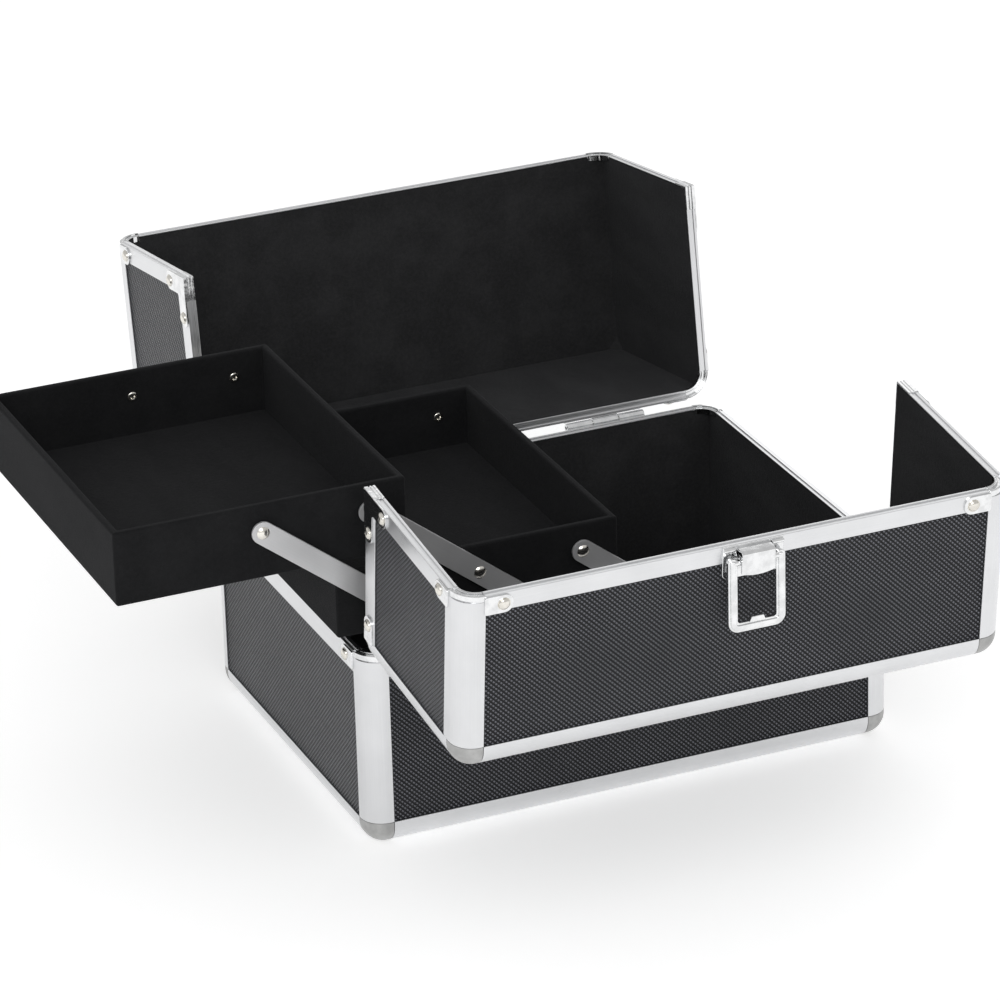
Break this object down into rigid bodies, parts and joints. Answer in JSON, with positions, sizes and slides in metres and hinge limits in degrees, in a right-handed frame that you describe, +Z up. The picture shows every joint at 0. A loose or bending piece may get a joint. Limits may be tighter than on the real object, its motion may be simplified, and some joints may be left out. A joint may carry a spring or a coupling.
{
  "type": "makeup train case",
  "caption": "Framed hard-shell beauty case with two lids hinged front and rear, cantilever trays on swinging arms, a loop latch and a folding handle.",
  "frame": {"origin": "middle of the floor panel's underside, where the case stands", "axes": "+X to the right along the long front, +Y from the front lid to the rear lid, +Z up"},
  "size_m": [0.4268, 0.5049, 0.2314],
  "materials": {
    "black_panel": "embossed with fine diamonds",
    "satin_aluminium": "satin anodised",
    "cast_cap": "matt die-cast",
    "bright_plate": "polished plating",
    "nickel": "nickel plated",
    "black_felt": "short felt pile",
    "black_grip": "moulded",
    "satin_steel": "satin"
  },
  "bodies": {
    "base": {"base_front_panel": "black_panel", "base_rear_panel": "black_panel", "base_left_panel": "black_panel", "base_right_panel": "black_panel", "base_floor_panel": "black_panel", "base_corner_posts": "satin_aluminium", "base_edge_profiles": "satin_aluminium", "base_corner_caps": "cast_cap", "base_rim_rails": "satin_aluminium", "base_rim_brackets": "bright_plate", "base_rivets": "nickel", "base_lining": "black_felt", "base_hinge_leaves": "bright_plate", "hinge_pins": "nickel", "box_pivot_rivets": "nickel"},
    "rear_lid": {"rear_lid_wall_panel": "black_panel", "rear_lid_top_panel": "black_panel", "rear_lid_side_panels": "black_panel", "rear_lid_edge_profiles": "satin_aluminium", "rear_lid_corner_caps": "cast_cap", "rear_lid_rim_rails": "satin_aluminium", "rear_lid_rim_brackets": "bright_plate", "rear_lid_rivets": "nickel", "rear_lid_lining": "black_felt", "rear_lid_hinge_leaves": "bright_plate", "catch_plate": "bright_plate", "catch_lock": "nickel", "handle_brackets": "bright_plate"},
    "front_lid": {"front_lid_wall_panel": "black_panel", "front_lid_top_panel": "black_panel", "front_lid_side_panels": "black_panel", "front_lid_edge_profiles": "satin_aluminium", "front_lid_corner_caps": "cast_cap", "front_lid_rim_rails": "satin_aluminium", "front_lid_rim_brackets": "bright_plate", "front_lid_rivets": "nickel", "front_lid_lining": "black_felt", "front_lid_hinge_leaves": "bright_plate", "latch_plate": "bright_plate"},
    "latch_loop": {"latch_loop": "bright_plate"},
    "handle": {"handle_bail": "bright_plate", "handle_grip": "black_grip"},
    "long_arms": {"long_arm_front": "satin_steel", "long_arm_rear": "satin_steel"},
    "lower_arms": {"lower_arm_front": "satin_steel", "lower_arm_rear": "satin_steel"},
    "upper_arms": {"upper_arm_front": "satin_steel", "upper_arm_rear": "satin_steel"},
    "lower_tray": {"lower_tray_boards": "black_felt", "lower_tray_pad": "black_felt", "lower_tray_rivets": "nickel"},
    "upper_tray": {"upper_tray_boards": "black_felt", "upper_tray_pad": "black_felt", "upper_tray_rivets": "nickel"}
  },
  "joints": [
    {"name": "tray_fold", "type": "hinge", "parent": "base", "child": "long_arms", "pos_m": [-0.0213, 0, 0.0938], "axis": [0, 1, 0], "range_deg": [0, 108]},
    {"name": "lower_arm_swing", "type": "hinge", "parent": "base", "child": "lower_arms", "pos_m": [0.0362, 0, 0.0938], "axis": [0, 1, 0], "range_deg": [0, 108]},
    {"name": "lower_tray_turn", "type": "hinge", "parent": "long_arms", "child": "lower_tray", "pos_m": [-0.08001, 0, 0.13967], "axis": [0, 1, 0], "range_deg": [-108, 0]},
    {"name": "upper_tray_turn", "type": "hinge", "parent": "long_arms", "child": "upper_tray", "pos_m": [-0.13871, 0, 0.18553], "axis": [0, 1, 0], "range_deg": [-108, 0]},
    {"name": "upper_arm_swing", "type": "hinge", "parent": "lower_tray", "child": "upper_arms", "pos_m": [-0.13751, 0, 0.13967], "axis": [0, 1, 0], "range_deg": [0, 108]},
    {"name": "rear_lid_hinge", "type": "hinge", "parent": "base", "child": "rear_lid", "pos_m": [0, 0.113, 0.109], "axis": [1, 0, 0], "range_deg": [0, 13]},
    {"name": "front_lid_hinge", "type": "hinge", "parent": "base", "child": "front_lid", "pos_m": [0, -0.113, 0.109], "axis": [-1, 0, 0], "range_deg": [0, 12]},
    {"name": "latch_swing", "type": "hinge", "parent": "front_lid", "child": "latch_loop", "pos_m": [0.0055, -0.24622, 0.19052], "axis": [-1, 0, 0], "range_deg": [-8, 170]},
    {"name": "handle_swing", "type": "hinge", "parent": "rear_lid", "child": "handle", "pos_m": [0, 0.24637, 0.15774], "axis": [1, 0, 0], "range_deg": [-5, 98]}
  ],
  "couplings": [
    {"joint": "lower_arm_swing", "follows": "tray_fold", "ratio": 1},
    {"joint": "lower_tray_turn", "follows": "tray_fold", "ratio": -1},
    {"joint": "upper_tray_turn", "follows": "tray_fold", "ratio": -1},
    {"joint": "upper_arm_swing", "follows": "tray_fold", "ratio": 1}
  ]
}
